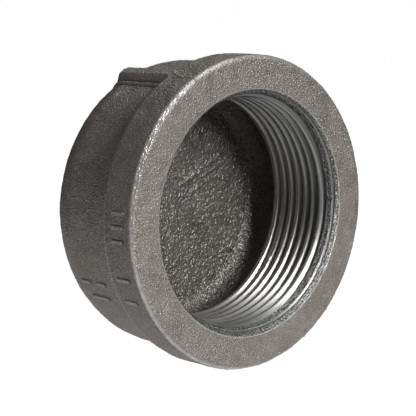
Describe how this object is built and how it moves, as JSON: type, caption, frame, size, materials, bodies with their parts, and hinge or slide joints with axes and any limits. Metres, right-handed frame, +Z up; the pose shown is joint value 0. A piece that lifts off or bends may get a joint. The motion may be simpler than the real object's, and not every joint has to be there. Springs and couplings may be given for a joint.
{
  "type": "threaded pipe cap",
  "caption": "Round banded iron pipe cap with a closed end, grip ribs along the body and a tapered pipe thread inside the mouth.",
  "frame": {"origin": "centre of the mouth, on the axis in the plane of the mouth face", "axes": "+X out of the mouth along the axis, +Z up as the cap is held with its axis level, -Y to the side with the raised bars"},
  "size_m": [0.0467, 0.0945, 0.094],
  "materials": {
    "cast_skin": "as-cast, fine sand texture",
    "cut_iron": "bare iron as the tap left it"
  },
  "bodies": {
    "root": {"end_wall": "cast_skin", "side_wall": "cast_skin", "mouth_band": "cast_skin", "grip_ribs": "cast_skin", "cast_marks": "cast_skin", "threaded_mouth": "cut_iron"}
  },
  "joints": []
}
